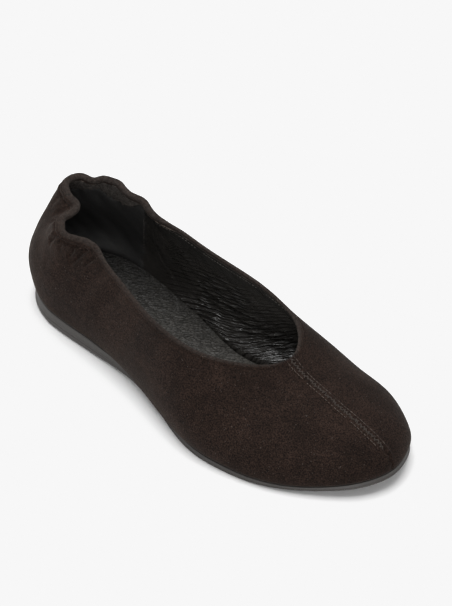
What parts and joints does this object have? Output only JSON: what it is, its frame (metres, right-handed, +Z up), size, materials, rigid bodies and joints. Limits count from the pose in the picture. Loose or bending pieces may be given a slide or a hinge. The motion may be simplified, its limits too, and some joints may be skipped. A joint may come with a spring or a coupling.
{
  "type": "ballet flat",
  "caption": "Right ballet flat of dark brown suede with an elastic gathered heel edge, a raised centre seam, a low rubber sole and a black leather inside.",
  "frame": {"origin": "on the floor, under the middle of the shoe's bounding box", "axes": "+X from heel to toe, +Y to the inner side of the foot (the wearer's left), +Z up"},
  "size_m": [0.2542, 0.0988, 0.0659],
  "materials": {
    "sole_rubber": "smooth matt moulded rubber",
    "insole_leather": "grained leather with a low sheen",
    "suede": "brushed suede with a soft nap"
  },
  "bodies": {
    "root": {"outsole": "sole_rubber", "insole": "insole_leather", "upper": "suede"}
  },
  "joints": []
}
